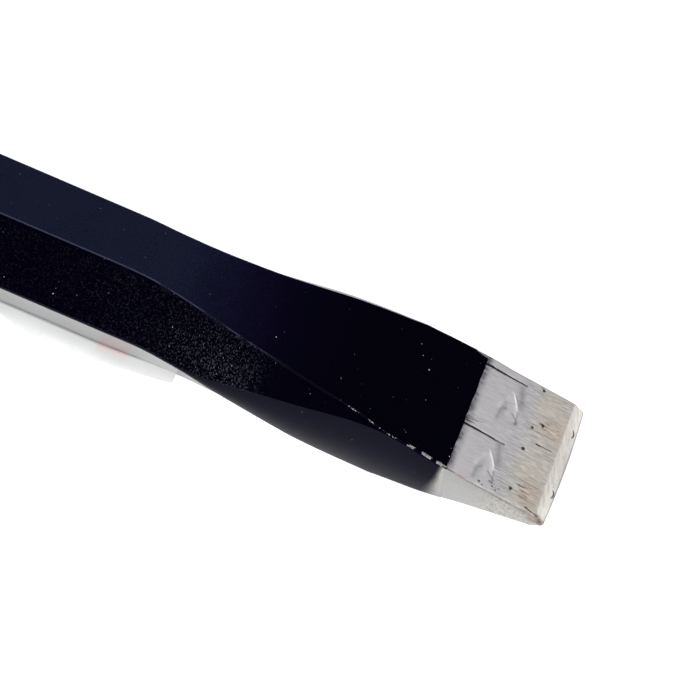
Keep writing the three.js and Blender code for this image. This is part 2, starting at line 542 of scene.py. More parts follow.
def makeSteel():
    finish = steelFinish
    material, tree, shader, position = newMaterial("groundSteel")
    shader.inputs["Anisotropic"].default_value = finish["anisotropy"]

    def lineStreaks(place, perMetre):
        along, across = perMetre
        used = useGroup(tree, streaks, Position=place, PerMetreAlong=along, PerMetreAcross=across)
        return used.outputs["Height"]

    coarse = lineStreaks(position, finish["coarseLines"])
    fine = lineStreaks(position, finish["fineLines"])
    patches = useGroup(tree, clouds, Position=position, PerMetre=900.0, Low=0.35, High=0.7)
    perMetre = finish["pitsPerMetre"]
    pits = useGroup(tree, specks, Position=position, PerMetre=perMetre, Coverage=0.10, Size=0.20)
    turned = {"Vector": position, "Rotation": finish["slantTurn"]}
    slanting = addNode(tree, "ShaderNodeMapping", turned, vector_type="POINT")
    cross = lineStreaks(slanting.outputs[0], finish["slantLines"])
    names = ("side", "bevel", "rust", "paintedLightAndShade", "scar", "red", "turned")
    masks = {name: readMask(tree, name) for name in names}

    # The ground colour turns warmer and more streaky towards the cutting edge.
    split = addNode(tree, "ShaderNodeSeparateXYZ", {0: position})
    toEdge = mapRange(tree, split.outputs["X"], *finish["warmFrom"])
    dirty = mapRange(tree, split.outputs["X"], *finish["dirtyFrom"])
    colour = mixColours(tree, toEdge, finish["coolColour"], finish["warmColour"])
    # The side and the bevel take lighter copies of the steel colour: painted light for their slant.
    sideLitColour = mixColours(tree, dirty, finish["sideCoolLitColour"], finish["sideWarmLitColour"])
    colour = mixColours(tree, masks["side"], colour, sideLitColour)
    colour = mixColours(tree, masks["bevel"], colour, finish["bevelLitColour"])
    coarseLines = mapRange(tree, coarse, 0.36, 0.56, 1.0, 0.0)
    fineLines = mapRange(tree, fine, 0.36, 0.54, 1.0, 0.0)
    lines = plus(tree, times(tree, coarseLines, 0.7), fineLines)
    lineShare = mapRange(tree, dirty, 0.0, 1.0, *finish["lineShare"])
    crossed = mathNode(tree, "MAXIMUM", masks["side"], masks["bevel"])
    flatShare = minus(tree, 1.0, times(tree, crossed, 0.85))
    lineShare = times(tree, lineShare, flatShare)
    colour = mixColours(tree, times(tree, lines, lineShare), colour, finish["lineColour"])

    # The side and the bevel are marked slantwise instead: dark grains between pale scratches.
    grains = mapRange(tree, cross, 0.34, 0.52, 1.0, 0.0)
    worn = mapRange(tree, dirty, 0.0, 1.0, *finish["grainShare"])
    worn = minus(tree, worn, times(tree, masks["bevel"], finish["bevelGrainLess"]), True)
    worn = times(tree, crossed, worn)
    colour = mixColours(tree, times(tree, grains, worn), colour, finish["lineColour"])
    paleLines = mapRange(tree, cross, 0.55, 0.70)
    colour = mixColours(tree, times(tree, paleLines, worn), colour, finish["paleScratchAndHighlightColour"])

    # Pale hairlines beside the dark ones, and cloudy dirt, both only near the cutting edge.
    paleFine = mapRange(tree, fine, 0.52, 0.66, 0.0, finish["paleLineShare"])
    paleFine = times(tree, paleFine, times(tree, dirty, flatShare))
    colour = mixColours(tree, paleFine, colour, finish["paleScratchAndHighlightColour"])
    clouded = mapRange(tree, patches.outputs["Height"], 0.45, 0.62, 0.0, finish["cloudShare"])
    colour = mixColours(tree, times(tree, clouded, dirty), colour, finish["lineColour"])

    # Tan discolouring in streaks, brown where it is deep, then painted shade towards black
    # and painted highlights towards pale.
    streaky = mapRange(tree, coarse, 0.40, 0.60, 0.45, 1.0)
    tan = times(tree, masks["rust"], streaky, True)
    colour = mixColours(tree, tan, colour, finish["tanColour"])
    brown = mapRange(tree, masks["rust"], 0.35, 1.0)
    fineBrown = mapRange(tree, fine, 0.50, 0.64, 0.0, 0.70)
    coarseBrown = mapRange(tree, coarse, 0.54, 0.64, 0.0, 0.75)
    brownLines = mathNode(tree, "MAXIMUM", fineBrown, coarseBrown)
    colour = mixColours(tree, times(tree, brown, brownLines), colour, finish["rustColour"])
    deep = mapRange(tree, masks["rust"], 1.20, 1.50)
    deep = times(tree, deep, mapRange(tree, patches.outputs["Height"], 0.40, 0.52))
    colour = mixColours(tree, deep, colour, finish["rustColour"])
    shade = mapRange(tree, masks["paintedLightAndShade"], 0.0, -1.0, 0.0, 1.0, "LINEAR")
    colour = mixColours(tree, shade, colour, (0.0, 0.0, 0.0))
    light = mapRange(tree, masks["paintedLightAndShade"], 0.0, 1.0, 0.0, 1.0, "LINEAR")
    colour = mixColours(tree, light, colour, finish["paleScratchAndHighlightColour"])
    colour = mixColours(tree, masks["red"], colour, finish["redColour"])
    pitShare = times(tree, mapRange(tree, masks["side"], 0.0, 1.0, 0.25, 0.9), dirty)
    pitted = times(tree, pits.outputs["Mask"], pitShare)
    dark = mathNode(tree, "MAXIMUM", masks["scar"], times(tree, pitted, 0.7))
    colour = mixColours(tree, dark, colour, finish["scarColour"])
    tree.links.new(colour, shader.inputs["Base Color"])
    shader.inputs["Metallic"].default_value = 1.0

    rustier = times(tree, masks["rust"], finish["rustRoughness"])
    rough = plus(tree, finish["roughness"], rustier)
    tree.links.new(rough, shader.inputs["Roughness"])

    # Turned rings on the struck end: noise that changes only with the distance from the axis.
    axis = (0.0, 0.0, -axisHeight * metresPerMillimetre)
    radial = vectorNode(tree, "ADD", position, axis)
    flattened = vectorNode(tree, "MULTIPLY", radial.outputs[0], (0.0, 1.0, 1.0))
    away = vectorNode(tree, "LENGTH", flattened.outputs[0])
    ringNoise = addNode(
        tree,
        "ShaderNodeTexNoise",
        {"W": away.outputs["Value"], "Scale": finish["ringsPerMetre"], "Detail": 2.0},
        noise_dimensions="1D",
    )
    rings = times(tree, ringNoise.outputs["Fac"], masks["turned"])
    drawn = times(tree, fine, 0.6)
    drawn = plus(tree, coarse, drawn)
    drawn = times(tree, drawn, minus(tree, 1.0, masks["turned"], True))
    slants = times(tree, cross, times(tree, crossed, 1.5))
    height = plus(tree, plus(tree, drawn, rings), slants)
    height = minus(tree, height, times(tree, pitted, 1.2))
    addRelief(tree, shader, height, 1.0, finish["reliefDepth"])

    # The tangent runs across the tool's marks: round the bar where it was ground along its length,
    # out from the axis where the struck end was turned.
    normal = addNode(tree, "ShaderNodeNewGeometry").outputs["Normal"]
    aroundBar = vectorNode(tree, "CROSS_PRODUCT", normal, (1.0, 0.0, 0.0))
    outwards = vectorNode(tree, "NORMALIZE", flattened.outputs[0])
    chosen = addNode(tree, "ShaderNodeMix", data_type="VECTOR")
    tangents = masks["turned"], aroundBar.outputs[0], outwards.outputs[0]
    for socket, value in zip((0, 4, 5), tangents):
        tree.links.new(value, chosen.inputs[socket])
    tree.links.new(chosen.outputs[1], shader.inputs["Tangent"])
    return material


# Black lacquer.

lacquerFinish = {
    "blackColour": (0.0002, 0.0001, 0.0014),
    "sheenColour": (0.0048, 0.0064, 0.0145),  # painted sheen where the upper flat faces the lamps
    "violetColour": (0.0042, 0.0022, 0.0150),  # where that painted sheen thins out
    "glintColour": (0.40, 0.41, 0.48),
    "dustColour": (0.36, 0.36, 0.40),
    "chipColour": (0.62, 0.61, 0.60),
    "thinColour": (0.53, 0.52, 0.465),
    "reflectionTint": (0.62, 0.62, 1.0),
    "roughness": 0.13,
    # what dullness, dust and bare metal add to the roughness
    "dullRoughness": 0.8,
    "dustRoughness": 0.3,
    "bareRoughness": 0.27,
    "refraction": 1.28,
    "undersideRefraction": 1.5,
    "undersideRoughness": 0.12,
    "reliefDepth": 0.00018,
    # features in each metre
    "peelPerMetre": 1400.0,
    "gritPerMetre": 3600.0,
    "dustPerMetre": 520.0,
    "motesPerMetre": 1500.0,
    "pebblesPerMetre": 5000.0,
    "flecksPerMetre": 3000.0,
    "flakesPerMetre": 1500.0,
    "pebbleHeight": (1.0, 0.55, 0.55),  # stretches the pebbling along the facets' height
    "pebbleBrightness": 0.095,
    "fleckBrightness": (1.4, 0.26),  # times the pebbling, plus
    "fleckShare": 0.16,
    "dust": (0.60, 0.08),  # share of the cells that hold a speck, and its size in cells
    "motes": (0.18, 0.12),
    "chippedAbove": 0.80,
}


def makeLacquer():
    finish = lacquerFinish
    material, tree, shader, position = newMaterial("blackLacquer")
    shader.inputs["IOR"].default_value = finish["refraction"]
    shader.inputs["Specular Tint"].default_value = (*finish["reflectionTint"], 1.0)
    shader.inputs["Coat IOR"].default_value = finish["undersideRefraction"]
    shader.inputs["Coat Roughness"].default_value = finish["undersideRoughness"]
    names = ("paintedSheen", "sparkle", "chip", "fade", "gloss", "dull")
    masks = {name: readMask(tree, name) for name in names}

    def cloudy(name, low, high, detail=4.0, place=position):
        settings = {"PerMetre": finish[name], "Low": low, "High": high, "Detail": detail}
        return useGroup(tree, clouds, Position=place, **settings)

    def speckled(name, coverage, size, place=position):
        settings = {"PerMetre": finish[name], "Coverage": coverage, "Size": size}
        return useGroup(tree, specks, Position=place, **settings).outputs["Mask"]

    peel = cloudy("peelPerMetre", 0.3, 0.7, 3.0)
    grit = cloudy("gritPerMetre", 0.35, 0.65, 3.0)
    broad = useGroup(tree, clouds, Position=position, PerMetre=120.0, Low=0.35, High=0.65)
    dust = speckled("dustPerMetre", *finish["dust"])
    motes = speckled("motesPerMetre", *finish["motes"])

    # Painted sheen on the upper flat, grainy and a little uneven.
    grain = mapRange(tree, grit.outputs["Height"], 0.3, 0.7, 0.45, 1.55, "LINEAR")
    unevenness = mapRange(tree, broad.outputs["Height"], 0.3, 0.7, 0.85, 1.15, "LINEAR")
    paintedSheen = times(tree, masks["paintedSheen"], times(tree, grain, unevenness))
    colour = mixColours(tree, masks["paintedSheen"], finish["violetColour"], finish["sheenColour"])
    colour = mixColours(tree, paintedSheen, finish["blackColour"], colour)
    dusty = mathNode(tree, "MAXIMUM", dust, times(tree, motes, 0.4))
    colour = mixColours(tree, times(tree, dusty, 0.7), colour, finish["dustColour"])

    # The forged facets are pebbled: fine grain stretched along their height, and scattered flecks.
    # Both are bump, and painted glints in a pale colour.
    squeezed = vectorNode(tree, "MULTIPLY", position, finish["pebbleHeight"]).outputs[0]
    pebbles = cloudy("pebblesPerMetre", 0.50, 0.80, 2.0, squeezed).outputs["Mask"]
    small = mathNode(tree, "POWER", masks["sparkle"], 0.8)
    small = times(tree, small, times(tree, pebbles, finish["pebbleBrightness"]))
    sparse = times(tree, masks["sparkle"], finish["fleckShare"])
    flecks = speckled("flecksPerMetre", sparse, 0.26, squeezed)
    steepness, least = finish["fleckBrightness"]
    fleckLight = plus(tree, times(tree, pebbles, steepness), least)
    large = times(tree, flecks, fleckLight)
    sparkle = mathNode(tree, "MAXIMUM", small, large)
    colour = mixColours(tree, sparkle, colour, finish["glintColour"])

    # Bare metal: flakes gone where noise and the chip mask add up, and film worn thin at the line.
    flakes = cloudy("flakesPerMetre", 0.35, 0.65, 3.0)
    loosened = plus(tree, flakes.outputs["Height"], times(tree, masks["chip"], 0.35))
    chipped = mathNode(tree, "GREATER_THAN", loosened, finish["chippedAbove"])
    chipped = times(tree, chipped, mathNode(tree, "GREATER_THAN", masks["chip"], 0.1))
    ragged = times(tree, minus(tree, grit.outputs["Height"], 0.5), 0.25)
    thin = plus(tree, masks["fade"], ragged)
    thin = times(tree, thin, mapRange(tree, masks["fade"], 0.0, 0.2))
    thin = mathNode(tree, "POWER", mapRange(tree, thin, 0.0, 1.0, kind="LINEAR"), 2.4)
    colour = mixColours(tree, thin, colour, finish["thinColour"])
    colour = mixColours(tree, chipped, colour, finish["chipColour"])
    tree.links.new(colour, shader.inputs["Base Color"])
    bare = mathNode(tree, "MAXIMUM", chipped, thin)
    tree.links.new(bare, shader.inputs["Metallic"])
    rough = plus(tree, times(tree, masks["dull"], finish["dullRoughness"]), finish["roughness"])
    rough = plus(tree, rough, times(tree, dusty, finish["dustRoughness"]))
    rough = plus(tree, rough, times(tree, bare, finish["bareRoughness"]))
    tree.links.new(rough, shader.inputs["Roughness"])
    tree.links.new(masks["gloss"], shader.inputs["Coat Weight"])
    height = plus(tree, sparkle, times(tree, peel.outputs["Height"], 0.06))
    height = plus(tree, height, times(tree, dusty, 0.1))
    height = minus(tree, height, times(tree, chipped, 0.3))
    addRelief(tree, shader, height, 1.0, finish["reliefDepth"])
    return material


# Label paper.

labelFinish = {
    "paperColour": (0.95, 0.955, 0.945),
    "mottleColour": (0.89, 0.90, 0.89),
    "footShadeColour": (0.76, 0.765, 0.76),  # painted shade towards the foot of the bar, where it overhangs the label
    "gapShadeColour": (0.30, 0.30, 0.31),  # painted shade along the line where it leaves the bar
    "showThroughColour": (0.83, 0.64, 0.62),
    "printColour": (0.62, 0.035, 0.03),
    "roughness": 0.8,
    "inkSmoother": 0.3,
    "fibresPerMetre": 2600.0,
    "mottlePerMetre": 260.0,
    "reliefDepth": 0.00002,
}


def makePaper():
    finish = labelFinish
    material, tree, shader, position = newMaterial("labelPaper")
    names = ("printed", "showThrough", "footShade", "gapShade")
    masks = {name: readMask(tree, name) for name in names}
    fibres, mottle = (
        useGroup(tree, clouds, Position=position, PerMetre=finish[name], Low=0.3, High=0.7)
        for name in ("fibresPerMetre", "mottlePerMetre")
    )
    colour = mixColours(tree, mottle.outputs["Mask"], finish["paperColour"], finish["mottleColour"])
    # Painted shade towards the bar's foot, with the fibres' own mottle.
    footShade = plus(tree, masks["footShade"], times(tree, fibres.outputs["Mask"], 0.12))
    colour = mixColours(tree, footShade, colour, finish["footShadeColour"])
    colour = mixColours(tree, masks["showThrough"], colour, finish["showThroughColour"])
    # Painted shade along the line where the label leaves the bar.
    colour = mixColours(tree, masks["gapShade"], colour, finish["gapShadeColour"])
    colour = mixColours(tree, masks["printed"], colour, finish["printColour"])
    tree.links.new(colour, shader.inputs["Base Color"])
    inked = times(tree, masks["printed"], finish["inkSmoother"])
    tree.links.new(minus(tree, finish["roughness"], inked), shader.inputs["Roughness"])
    addRelief(tree, shader, fibres.outputs["Height"], 0.4, finish["reliefDepth"])
    return material


steelMaterial = makeSteel()
lacquerMaterial = makeLacquer()
paperMaterial = makePaper()
print("materials made")

# The steel bar; its marks are in millimetres back from the edge and across from the centre line.

steelBar = {
    "ring": (10, 6, 3, 6, 88),  # samples on a quarter: side, corner, facet, corner, flat
    "tipStep": 0.125,
    "bareFrom": 19.75,  # where the fine steps of the bare tip begin, just under the lacquer
    "shankRows": (248.5, 215.0, 180.0, 145.0, 112.0, 92.0),
    "faceRings": 14,
    "unevenness": 0.010,
    "lineDepth": 0.003,
    "sideGrain": 0.008,
    "sideWave": 0.02,
    # from (at, across) to (at, across), half width, depth, darkness
    "scratches": [
        ((17.7, 10.62), (10.2, 10.42), 0.27, 0.05, 1.0),
        ((17.7, -2.25), (10.4, -2.30), 0.26, 0.06, 1.0),
        ((17.6, -1.55), (15.9, -1.35), 0.15, 0.02, 0.95),
        ((17.6, -1.10), (15.4, -0.75), 0.13, 0.02, 0.85),
        ((17.6, -0.65), (14.6, -0.45), 0.12, 0.02, 0.60),
        ((16.9, 0.10), (14.2, 0.05), 0.09, 0.02, 0.30),
        ((5.8, 0.85), (3.2, 1.0), 0.13, 0.03, 1.0),
        ((17.5, -12.05), (16.0, -12.0), 0.13, 0.04, 0.85),
        ((4.0, -11.4), (2.3, -11.9), 0.14, 0.03, 0.95),
        ((2.3, -11.9), (0.9, -12.1), 0.09, 0.02, 0.55),
        ((6.2, -8.1), (4.9, -8.0), 0.13, 0.04, 0.9),
        ((6.2, 4.9), (4.9, 4.9), 0.14, 0.04, 0.75),
        ((12.6, 5.6), (10.9, 6.0), 0.07, 0.02, 0.25),
        ((11.4, -8.6), (10.3, -9.4), 0.07, 0.02, 0.30),
        ((7.4, 3.1), (3.2, 3.3), 0.11, 0.02, 0.55),
        ((8.6, 4.2), (4.5, 4.3), 0.10, 0.015, 0.45),
        ((9.4, 6.6), (2.6, 6.7), 0.09, 0.015, 0.30),
        ((7.4, -6.9), (2.4, -7.1), 0.10, 0.015, 0.45),
        ((9.6, -9.2), (4.2, -9.6), 0.10, 0.015, 0.45),
        ((6.0, -10.0), (2.4, -10.2), 0.09, 0.015, 0.45),
        ((5.0, -5.6), (2.4, -5.7), 0.09, 0.015, 0.35),
    ],
    "redScratch": ((16.7, -12.05), (14.2, -11.95), 0.15),
    # painted highlights along pale lines: from (at, across) to (at, across), half width, strength
    "gleams": [
        ((3.0, -11.9), (0.9, -12.3), 0.14, 0.75),
        ((5.4, 4.3), (3.0, 4.5), 0.12, 0.60),
        ((5.9, -8.5), (4.0, -8.6), 0.12, 0.60),
        ((4.6, -9.3), (2.4, -9.4), 0.09, 0.40),
        ((16.6, -0.8), (12.5, -0.5), 0.16, 0.22),
        ((17.0, 0.6), (13.0, 0.8), 0.16, 0.16),
    ],
    # the lower end of the bright rim (at, across), and the dent's size
    "dents": [((10.2, 4.75), 1.0), ((10.5, -7.9), 1.0)],
    "dentDepth": 0.034,
    # (at, across), radius, depth
    "pits": [
        ((7.45, 11.35), 0.28, 0.06),
        ((7.2, 3.5), 0.28, 0.06),
        ((5.7, 4.8), 0.30, 0.06),
        ((7.45, -1.2), 0.34, 0.05),
        ((7.1, -9.5), 0.27, 0.05),
        ((12.1, -11.2), 0.19, 0.03),
        ((11.5, -11.6), 0.15, 0.03),
        ((10.6, -10.2), 0.16, 0.03),
        ((9.9, -10.9), 0.17, 0.03),
        ((9.3, -11.3), 0.14, 0.03),
        ((8.8, -10.7), 0.13, 0.03),
    ],
    # crescent nicks on the bevel: centre, radius
    "nicks": [((1.25, 6.6), 0.62), ((1.0, -6.1), 0.62)],
    # centre (at, across), reach along, reach across, strength
    "rust": [
        ((4.1, 4.9), 2.5, 2.6, 1.12),
        ((5.4, 8.2), 3.0, 2.4, 0.35),
        ((3.9, -8.9), 2.5, 3.4, 1.12),
        ((5.6, -5.2), 2.8, 2.8, 0.45),
        ((1.3, -12.3), 2.3, 1.2, 1.47),
        ((3.2, 2.2), 2.2, 1.8, 0.55),
    ],
    # painted shade: beside the lacquer, on the rounded long edges and along the cutting edge
    "lineShade": 0.80,  # how dark the steel is beside the lacquer
    "lineShadeReach": 1.5,
    "cornerShade": 0.20,
    "edgeShade": 0.55,
    "undersideScratches": 14,
    "hammerMarks": 9,
    "hammerDepth": 0.09,
}


# Distance from a segment, and the share of the segment at the nearest point.
def segmentDistance(at, across, start, end):
    alongLine = np.array([end[0] - start[0], end[1] - start[1]])
    lengthSquared = alongLine @ alongLine
    share = clamp01(
        ((at - start[0]) * alongLine[0] + (across - start[1]) * alongLine[1]) / lengthSquared
    )
    nearAt = start[0] + share * alongLine[0]
    nearAcross = start[1] + share * alongLine[1]
    return np.hypot(at - nearAt, across - nearAcross), share


# Relief and masks of one ground face from distance and place across: each scratch is a Gaussian
# groove that tapers, each pit a ragged cup, each nick a crescent, each stain a soft round patch.
def groundFace(at, across, values, scratches, side):
    position = np.stack([at, across, np.full(at.shape, 40.0 * side)], axis=-1)
    relief = values["lineDepth"] * latticeNoise(position, (9.0, 0.3, 1.0), 11)
    relief += 0.6 * values["lineDepth"] * latticeNoise(position, (16.0, 0.9, 1.0), 12)
    relief += values["unevenness"] * latticeNoise(position, (7.0, 5.0, 1.0), 13)
    wobble = latticeNoise(position, (1.3, 1.3, 1.0), 14)
    ragged = latticeNoise(position, (0.28, 0.22, 1.0), 15)
    masks = {name: np.zeros(at.shape) for name in ("scar", "rust", "paintedLightAndShade", "red")}
    for start, end, width, depth, darkness in scratches:
        distance, share = segmentDistance(at, across + 0.05 * wobble, start, end)
        narrowed = width * (1 - 0.55 * share) * (1 + 0.2 * ragged)
        groove = np.exp(-((distance / narrowed) ** 2))
        relief -= depth * groove
        masks["scar"] = np.maximum(masks["scar"], darkness * smooth(groove, 0.12, 0.7))
    # Each dent adds painted highlight and painted shade besides its relief.
    for (centreAt, centreAcross), size in values["dents"]:
        lift, paintedLightAndShade = dentMark((at - centreAt) / size, (across - side * centreAcross) / size)
        relief += values["dentDepth"] * lift
        masks["paintedLightAndShade"] += paintedLightAndShade
    for centre, radius, depth in values["pits"]:
        distance = np.hypot(at - centre[0], (across - side * centre[1]) * 0.85)
        cup = clamp01(1 - (distance / radius * (1 + 0.35 * ragged)) ** 2)
        relief -= depth * cup
        masks["scar"] = np.maximum(masks["scar"], 0.9 * smooth(cup, 0.05, 0.5))
    for centre, radius in values["nicks"]:
        alongNick, acrossNick = at - centre[0], across - side * centre[1]
        distance = np.hypot(alongNick, acrossNick * 0.75)
        turn = np.arctan2(acrossNick * 0.75, -alongNick)
        arc = bump(turn, 0.15, 1.5)
        crescent = np.exp(-(((distance - radius) / (0.06 + 0.09 * arc)) ** 2))
        crescent = crescent * smooth(arc, 0.0, 0.4)
        relief -= 0.03 * crescent
        masks["scar"] = np.maximum(masks["scar"], 0.9 * smooth(crescent, 0.1, 0.7))
    for centre, reachAlong, reachAcross, strength in values["rust"]:
        spread = bump(at, centre[0], reachAlong) * bump(across, side * centre[1], reachAcross)
        if centre[0] > bar["bevelAt"]:
            spread = spread * smooth(at, bar["bevelAt"] - 0.1, bar["bevelAt"] + 0.1)
        masks["rust"] = np.maximum(masks["rust"], strength * spread**0.35 * (0.9 + 0.25 * wobble))
    # Pale lines are painted highlights.
    for start, end, width, strength in values["gleams"]:
        distance, share = segmentDistance(at, across, start, end)
        fading = strength * smooth(share, 0.0, 0.2) * (1 - smooth(share, 0.7, 1.0))
        masks["paintedLightAndShade"] += fading * np.exp(-((distance / width) ** 2))
    start, end, width = values["redScratch"]
    distance, share = segmentDistance(at, across, start, end)
    masks["red"] = 0.45 * side * np.exp(-((distance / width) ** 2)) * smooth(share, 0.0, 0.4)
    return relief, masks


# The strongest of several soft lines, each from (away, up) to (away, up) with its strength.
def softLines(away, up, lines, width):
    shade = np.zeros(away.shape)
    for start, end, strength in lines:
        distance, share = segmentDistance(away, up, start, end)
        faded = strength * smooth(share, 0.0, 0.25)
        shade = np.maximum(shade, faded * np.exp(-((distance / width) ** 2)))
    return shade


# One dent in units of its size, with away counted back from the lower end of its bright rim and up
# across the bar. The rim climbs back along a parabola with a painted highlight along it, and a band
# of painted shade stands in front of it. Painted shade runs along two creases below it to a shaded
# smudge, a painted pale slope closes the hollow at the back, its floor is painted a little lighter,
# and painted shade turns its far corner as a soft notch.
def dentMark(away, up):
    fromRim = away - 0.33 * up - 0.055 * up**2
    line = np.exp(-((fromRim / 0.15) ** 2)) * smooth(up, -0.3, 1.0) * (1 - smooth(up, 2.6, 3.7))
    beyond = softLines(away, up, [((-0.45, 0.2), (0.6, 4.9), 1.0)], 0.55)
    creases = softLines(
        away, up, [((1.1, -0.4), (-0.4, -1.95), 1.0), ((0.05, 0.3), (-0.25, -2.5), 0.8)], 0.13
    )
    slope = softLines(away, up, [((1.8, 2.9), (3.2, -0.5), 1.0)], 0.36)
    notch = softLines(
        away, up, [((2.85, -3.6), (2.72, -0.95), 1.0), ((2.8, -1.1), (2.05, -0.4), 1.0)], 0.30
    )
    smudge = np.exp(-((np.hypot(away + 0.25, up + 2.3) / 0.42) ** 2))
    floor = np.exp(-(((away - 1.35) / 0.75) ** 2)) * bump(up, -1.2, 1.9)
    inside = smooth(fromRim, 0.0, 0.9) * (1 - smooth(away, 1.7, 3.0)) * bump(up, -0.4, 3.4)
    lift = 0.8 * line - inside
    paintedLightAndShade = 0.90 * line + 0.22 * slope + 0.10 * floor
    paintedLightAndShade = paintedLightAndShade - 0.30 * beyond - 0.48 * creases - 0.26 * notch - 0.34 * smudge
    return lift, paintedLightAndShade


# Fine random scratches along the underside, seeded, so that the hidden face is worn too.
def randomScratches(count, seed):
    rng = np.random.default_rng(seed)
    lines = []
    for _ in range(count):
        start = rng.uniform(6, 17), rng.uniform(-11.5, 11.5)
        run = rng.uniform(1.5, 7)
        end = max(start[0] - run, 0.5), start[1] + rng.normal(0, 0.05) * run
        width, depth = rng.uniform(0.05, 0.12), rng.uniform(0.01, 0.04)
        lines.append((start, end, width, depth, rng.uniform(0.2, 0.9)))
    return lines


# The bar: rings that grow over the struck face, a turned cone where each section is held inside a
# circle, the shank, the blade in fine steps over its bare tip, and rings that close the edge land.
def makeSteelBar():
    values = steelBar
    ring = ringPlaces(values["ring"])
    blocks, outs, ats = [], [], []

    def addRows(at, scale=None, radius=None, closing=None):
        at = np.asarray(at, float)[:, None]
        points, outward = barSurface(at, ring, 0.0)
        offset = points[..., 1:] - [0.0, axisHeight]
        if radius is not None:
            away = np.linalg.norm(offset, axis=-1, keepdims=True)
            held = np.asarray(radius, float)[:, None, None]
            offset = offset * np.minimum(1, held / np.maximum(away, 1e-9))
        if scale is not None:
            offset = offset * np.asarray(scale, float)[:, None, None]
        if closing is not None:
            offset[..., 1] = offset[..., 1] * np.asarray(closing, float)[:, None]
        points[..., 1:] = offset + [0.0, axisHeight]
        blocks.append(points)
        outs.append(outward)
        ats.append(np.broadcast_to(at, points.shape[:2]))

    faceStart = bar["length"] - bar["faceBreak"]
    faceEdge = bar["faceRadius"] - bar["faceBreak"]
    rings = values["faceRings"]
    faceScale = np.linspace(0, 0.985, rings)
    addRows(np.full(rings, bar["length"]), scale=faceScale, radius=np.full(rings, faceEdge))
    addRows([bar["length"]], radius=[faceEdge])
    coneRows = np.linspace(faceStart - 0.5, filmEndAt, 9)
    coneAt = np.concatenate([[faceStart + 0.05, faceStart - 0.05], coneRows])
    coneRadii = np.where(
        coneAt > faceStart,
        lerp(bar["faceRadius"], faceEdge, (coneAt - faceStart) / bar["faceBreak"]),
        lerp(bar["faceRadius"], bar["coneRadius"], (faceStart - coneAt) / bar["coneLength"]),
    )
    addRows(coneAt, radius=coneRadii)
    bareAt = values["bareFrom"]
    addRows(np.concatenate([values["shankRows"], np.linspace(84, bareAt + 1.5, 26)]))
    bareRows = round((bareAt - bar["bevelAt"]) / values["tipStep"])
    addRows(np.linspace(bareAt, bar["bevelAt"], bareRows, endpoint=False))
    addRows(np.arange(bar["bevelAt"], values["tipStep"] / 2, -values["tipStep"]))
    addRows([0.05, 0.0, 0.0], closing=[1.0, 0.75, 0.0])

    points = np.concatenate(blocks)
    outward = np.concatenate(outs)
    at = np.concatenate(ats)
    across = points[..., 1]
    upward = ring["up"][None, :] * np.ones_like(at)
    flatness = smooth(np.abs(outward[..., 2]), 0.5, 0.9)
    bareTip = 1 - smooth(at, 19.0, 19.7)

    reliefTop, top = groundFace(at, across, values, values["scratches"], 1)
    hidden = dict(values, pits=values["pits"][:4], rust=values["rust"][2:])
    hidden.update(dents=[], nicks=[], gleams=[])
    scratches = randomScratches(values["undersideScratches"], 5)
    reliefUnder, under = groundFace(at, across, hidden, scratches, -1)
    isTop = upward > 0
    nearTip = bareTip * (at < 20)
    weight = flatness * nearTip
    relief = np.where(isTop, reliefTop, reliefUnder) * weight
    sideness = smooth(np.abs(outward[..., 1]), 0.35, 0.75)
    sidePosition = np.stack([at, points[..., 2], across], axis=-1)
    grain = latticeNoise(sidePosition, (0.8, 0.5, 5.0), 21)
    wave = latticeNoise(sidePosition, (4.0, 2.5, 5.0), 22)
    relief += sideness * nearTip * values["sideGrain"] * grain
    relief += sideness * nearTip * values["sideWave"] * wave
    relief *= smooth(at, 0.0, 0.4)
    marks = ("scar", "paintedLightAndShade", "red")
    masks = {name: np.where(isTop, top[name], under[name]) * weight for name in marks}
    masks["rust"] = np.where(isTop, top["rust"], under["rust"]) * nearTip

    # Painted soft shade: beside the lacquer, on the rounded long edges and along the cutting edge.
    beside = 1 - smooth(bar["paintLineAt"] - at, -0.1, values["lineShadeReach"])
    beside = beside * (0.8 + 0.4 * latticeNoise(sidePosition, (0.6, 0.5, 0.5), 23))
    slopes = np.abs(outward[..., 2])
    rounded = smooth(slopes, 0.30, 0.50) * (1 - smooth(slopes, 0.93, 0.995)) * smooth(at, 2.0, 3.5)
    masks["paintedLightAndShade"] = masks["paintedLightAndShade"] - values["lineShade"] * beside * flatness * nearTip
    masks["paintedLightAndShade"] = masks["paintedLightAndShade"] - values["cornerShade"] * rounded * nearTip
    masks["paintedLightAndShade"] = masks["paintedLightAndShade"] - values["edgeShade"] * (1 - smooth(at, 0.05, 0.35))
    masks["side"] = sideness * nearTip
    masks["bevel"] = smooth(-at, -bar["bevelAt"] - 0.08, -bar["bevelAt"] + 0.08)
    masks["turned"] = smooth(at, 240.0, 245.0)
    points = points + outward * relief[..., None]

    # Hammer marks on the struck face: shallow round cups at seeded places.
    rng = np.random.default_rng(17)
    onFace = at > bar["length"] - 0.01
    sink = np.zeros_like(at)
    for _ in range(values["hammerMarks"]):
        reach, turn = rng.uniform(0, 5.5), rng.uniform(0, 2 * math.pi)
        size = rng.uniform(1.2, 2.6)
        fromCentre = points[..., 1:] - [reach * math.cos(turn), axisHeight + reach * math.sin(turn)]
        distance = np.hypot(fromCentre[..., 0], fromCentre[..., 1])
        sink = np.maximum(sink, values["hammerDepth"] * clamp01(1 - (distance / size) ** 2))
    points[..., 0] += sink * onFace
    faces = ringFaces(*at.shape)
    return makePiece("steelBar", points, faces, masks, steelMaterial, 18)


steelPiece = makeSteelBar()
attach(steelPiece, "root")
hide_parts("steel_bar")
print("steel bar:", len(steelPiece.data.polygons), "faces")

# The lacquer coat.

